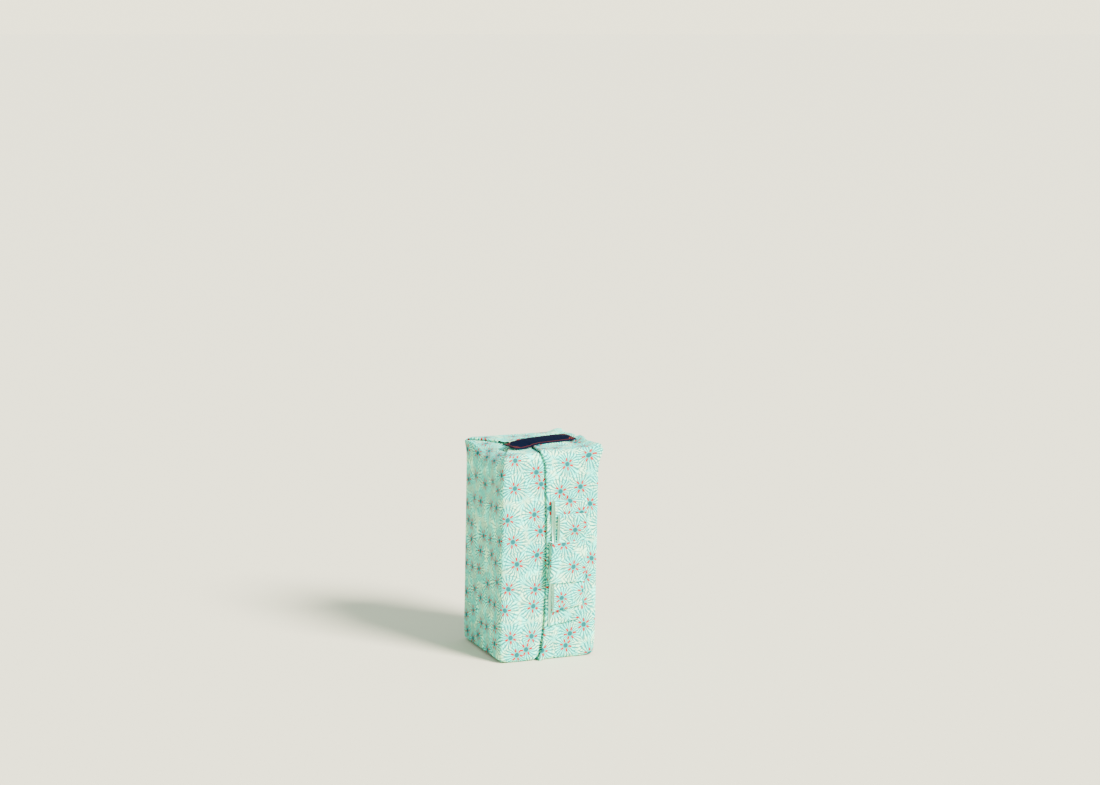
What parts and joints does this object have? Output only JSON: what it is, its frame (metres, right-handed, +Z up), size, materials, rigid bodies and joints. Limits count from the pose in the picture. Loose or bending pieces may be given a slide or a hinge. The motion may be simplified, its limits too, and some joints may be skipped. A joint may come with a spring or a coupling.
{
  "type": "furoshiki wrap",
  "caption": "Patterned cloth folded as one parcel round an upright box shape, with overlapping front panels, folded-in ends, a flat looped bow strip and a woven label on top.",
  "frame": {"origin": "on the floor, under the middle of the parcel's base", "axes": "+Z up along the parcel's height, -Y out of the front with the overlap and the bow, +X to the right as seen from the front"},
  "size_m": [0.1031, 0.1221, 0.2067],
  "materials": {
    "cloth": "matte printed cotton",
    "label": "woven label with a thin copper-coloured border"
  },
  "bodies": {
    "root": {"wrap_cloth": "cloth", "bow_long_loop": "cloth", "bow_short_loop": "cloth", "bow_band": "cloth", "label": "label"}
  },
  "joints": []
}
